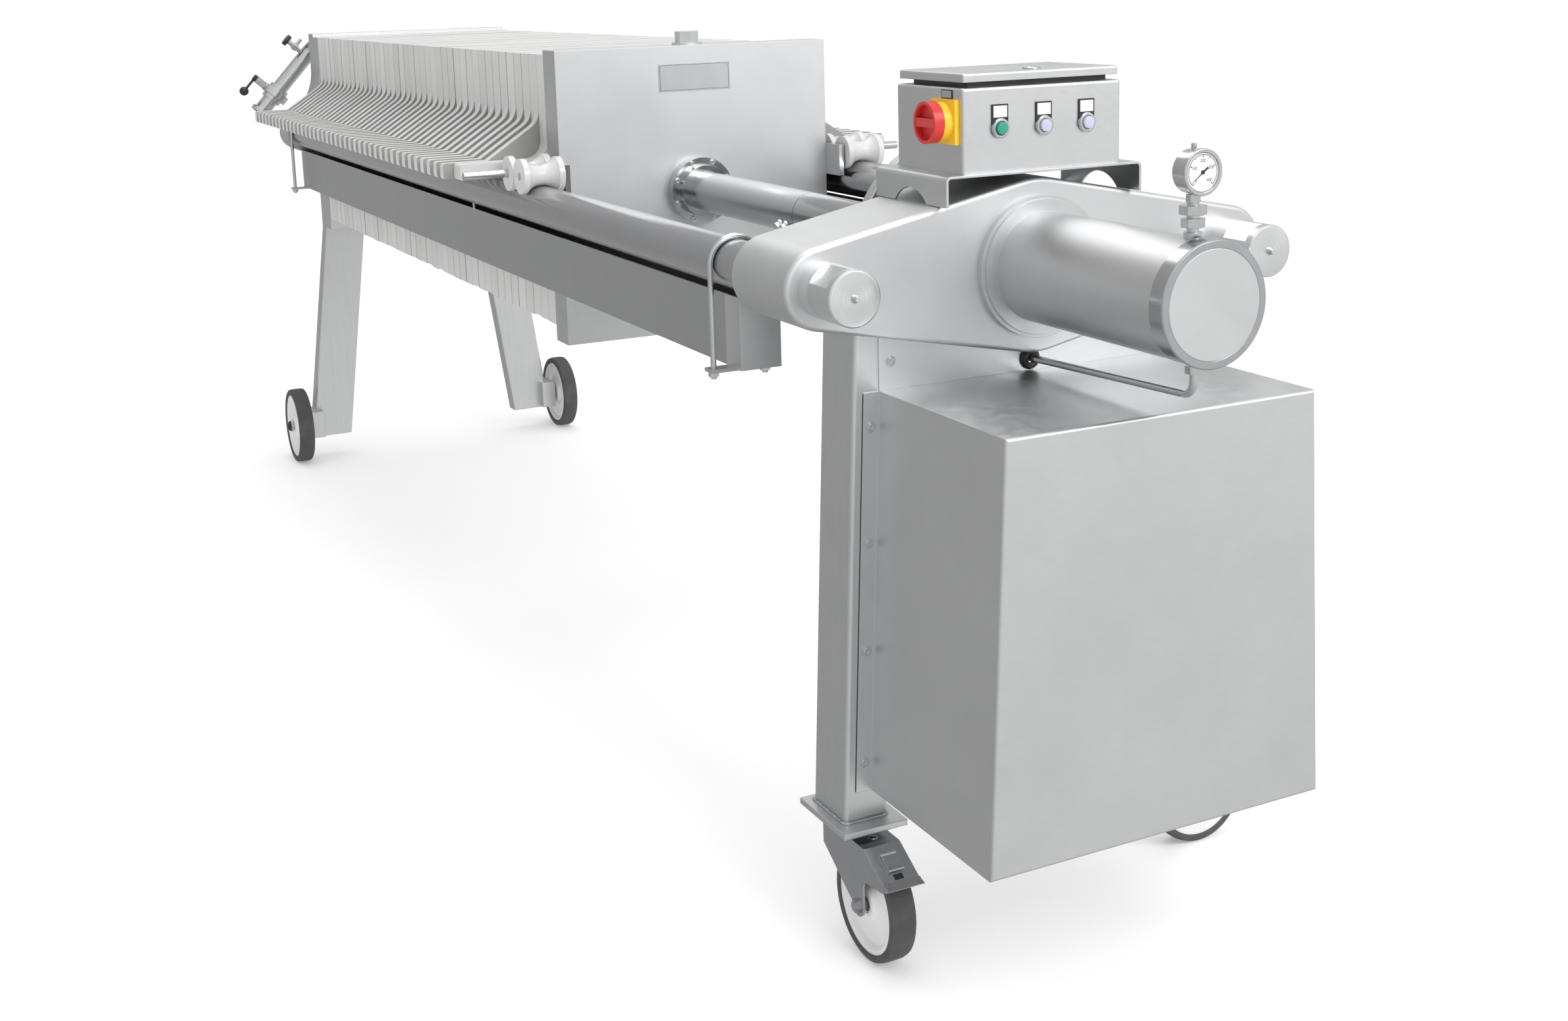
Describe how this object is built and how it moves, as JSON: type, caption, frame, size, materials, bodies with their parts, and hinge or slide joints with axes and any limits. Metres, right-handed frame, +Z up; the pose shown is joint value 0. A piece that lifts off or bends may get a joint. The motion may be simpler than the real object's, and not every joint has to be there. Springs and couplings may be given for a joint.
{
  "type": "plate filter press",
  "caption": "Plate filter press on wheels: a pack of plates hung on two round bars between a fixed and a moving head, closed by a hydraulic ram with a control box",
  "frame": {"origin": "on the floor, at the middle of the bounding box, under the line of the ram", "axes": "+X along the press from the fixed head to the ram, +Y across it, +Z up"},
  "size_m": [4.4044, 1.106, 1.478],
  "materials": {
    "stainless": "satin stainless steel, brushed",
    "head_steel": "satin stainless plate, bead blasted",
    "polished_steel": "polished hard-chromed round bar",
    "plate_plastic": "off-white polypropylene",
    "roller_plastic": "white machined plastic",
    "wheel_rubber": "dark grey rubber tread on an off-white core",
    "sheet_steel": "folded stainless sheet, satin",
    "zinc_steel": "zinc plated pressed steel",
    "box_steel": "satin stainless sheet",
    "yellow_plastic": "yellow moulded plastic",
    "red_plastic": "red moulded plastic",
    "green_plastic": "green moulded plastic",
    "black_plastic": "black moulded plastic",
    "gauge_steel": "stainless gauge case",
    "pale_plastic": "pale moulded plastic"
  },
  "bodies": {
    "press_frame": {"bar_nuts": "stainless", "box_bracket": "box_steel", "control_box": "box_steel", "crosshead": "head_steel", "cylinder_cap": "polished_steel", "drip_gutters": "sheet_steel", "filter_plates_front": "plate_plastic", "filter_plates_rear": "plate_plastic", "fixed_head": "head_steel", "front_pillars": "stainless", "gauge_fittings": "stainless", "guide_bars": "polished_steel", "gutter_hangers": "stainless", "inlet_plate": "head_steel", "oil_pipe": "stainless", "outlet_pipe": "stainless", "outlet_valve": "stainless", "power_cover": "sheet_steel", "pressure_gauge": "gauge_steel", "ram_cylinder": "stainless", "rear_legs": "stainless", "switch_plate": "yellow_plastic", "upper_panel": "sheet_steel"},
    "pressing_head": {"moving_head": "head_steel", "push_rod": "polished_steel", "roller_carriers": "stainless", "end_plate": "plate_plastic"},
    "loose_plate_1": {"loose_plate_1": "plate_plastic"},
    "loose_plate_2": {"loose_plate_2": "plate_plastic"},
    "roller_front_left": {"roller_front_left": "roller_plastic"},
    "roller_front_right": {"roller_front_right": "roller_plastic"},
    "roller_rear_left": {"roller_rear_left": "roller_plastic"},
    "roller_rear_right": {"roller_rear_right": "roller_plastic"},
    "caster_left": {"caster_fork_left": "zinc_steel"},
    "caster_right": {"caster_fork_right": "zinc_steel"},
    "front_wheel_left": {"front_wheel_left": "wheel_rubber"},
    "front_wheel_right": {"front_wheel_right": "wheel_rubber"},
    "rear_wheel_left": {"rear_wheel_left": "wheel_rubber"},
    "rear_wheel_right": {"rear_wheel_right": "wheel_rubber"},
    "box_lid": {"box_lid": "box_steel"},
    "main_switch": {"main_switch": "red_plastic"},
    "start_button": {"start_button": "green_plastic"},
    "reset_button": {"reset_button": "pale_plastic"},
    "stop_button": {"stop_button": "pale_plastic"},
    "valve_lever": {"valve_lever": "black_plastic"},
    "sampling_knob": {"sampling_knob": "black_plastic"}
  },
  "joints": [
    {"name": "head_slide", "type": "slide", "parent": "press_frame", "child": "pressing_head", "axis": [1, 0, 0], "range_m": [0, 0.4]},
    {"name": "plate_2_slide", "type": "slide", "parent": "press_frame", "child": "loose_plate_2", "axis": [1, 0, 0], "range_m": [0, 0.28]},
    {"name": "plate_1_slide", "type": "slide", "parent": "press_frame", "child": "loose_plate_1", "axis": [1, 0, 0], "range_m": [0, 0.14]},
    {"name": "roller_front_left_spin", "type": "hinge", "parent": "pressing_head", "child": "roller_front_left", "pos_m": [0.4642, -0.392, 1.1878], "axis": [0, 1, 0], "range_deg": [0, 1043.7]},
    {"name": "roller_rear_left_spin", "type": "hinge", "parent": "pressing_head", "child": "roller_rear_left", "pos_m": [0.3832, -0.392, 1.1878], "axis": [0, 1, 0], "range_deg": [0, 1043.7]},
    {"name": "roller_front_right_spin", "type": "hinge", "parent": "pressing_head", "child": "roller_front_right", "pos_m": [0.4642, 0.392, 1.1878], "axis": [0, 1, 0], "range_deg": [0, 1043.7]},
    {"name": "roller_rear_right_spin", "type": "hinge", "parent": "pressing_head", "child": "roller_rear_right", "pos_m": [0.3832, 0.392, 1.1878], "axis": [0, 1, 0], "range_deg": [0, 1043.7]},
    {"name": "caster_left_swivel", "type": "hinge", "parent": "press_frame", "child": "caster_left", "pos_m": [1.6922, -0.3205, 0.2095], "axis": [0, 0, 1], "continuous": true},
    {"name": "caster_right_swivel", "type": "hinge", "parent": "press_frame", "child": "caster_right", "pos_m": [1.6922, 0.3205, 0.2095], "axis": [0, 0, 1], "continuous": true},
    {"name": "front_wheel_left_spin", "type": "hinge", "parent": "caster_left", "child": "front_wheel_left", "pos_m": [1.7672, -0.3205, 0.097], "axis": [0, 1, 0], "continuous": true},
    {"name": "front_wheel_right_spin", "type": "hinge", "parent": "caster_right", "child": "front_wheel_right", "pos_m": [1.6922, 0.3955, 0.097], "axis": [1, 0, 0], "continuous": true},
    {"name": "rear_wheel_left_spin", "type": "hinge", "parent": "press_frame", "child": "rear_wheel_left", "pos_m": [-1.9922, -0.4715, 0.125], "axis": [0, 1, 0], "continuous": true},
    {"name": "rear_wheel_right_spin", "type": "hinge", "parent": "press_frame", "child": "rear_wheel_right", "pos_m": [-1.9922, 0.4715, 0.125], "axis": [0, 1, 0], "continuous": true},
    {"name": "lid_hinge", "type": "hinge", "parent": "press_frame", "child": "box_lid", "pos_m": [1.5772, 0, 1.4233], "axis": [0, -1, 0], "range_deg": [0, 100]},
    {"name": "main_switch_turn", "type": "hinge", "parent": "press_frame", "child": "main_switch", "pos_m": [1.7377, -0.17, 1.362], "axis": [0, -1, 0], "range_deg": [0, 90]},
    {"name": "start_button_press", "type": "slide", "parent": "press_frame", "child": "start_button", "axis": [-1, 0, 0], "range_m": [0, 0.003], "stiffness_N_per_m": 600},
    {"name": "reset_button_press", "type": "slide", "parent": "press_frame", "child": "reset_button", "axis": [-1, 0, 0], "range_m": [0, 0.003], "stiffness_N_per_m": 600},
    {"name": "stop_button_press", "type": "slide", "parent": "press_frame", "child": "stop_button", "axis": [-1, 0, 0], "range_m": [0, 0.003], "stiffness_N_per_m": 600},
    {"name": "valve_lever_turn", "type": "hinge", "parent": "press_frame", "child": "valve_lever", "pos_m": [-2.1572, -0.49848, 1.30559], "axis": [0, 0.7361, -0.6769], "range_deg": [0, 90]},
    {"name": "sampling_knob_turn", "type": "hinge", "parent": "press_frame", "child": "sampling_knob", "pos_m": [-2.1572, -0.38697, 1.43129], "axis": [0, -0.7361, 0.6769], "range_deg": [0, 360]}
  ],
  "couplings": [
    {"joint": "plate_2_slide", "follows": "head_slide", "ratio": 0.66},
    {"joint": "plate_1_slide", "follows": "head_slide", "ratio": 0.33},
    {"joint": "roller_front_left_spin", "follows": "head_slide", "rad_per_m": 45.455},
    {"joint": "roller_rear_left_spin", "follows": "head_slide", "rad_per_m": 45.455},
    {"joint": "roller_front_right_spin", "follows": "head_slide", "rad_per_m": 45.455},
    {"joint": "roller_rear_right_spin", "follows": "head_slide", "rad_per_m": 45.455}
  ]
}
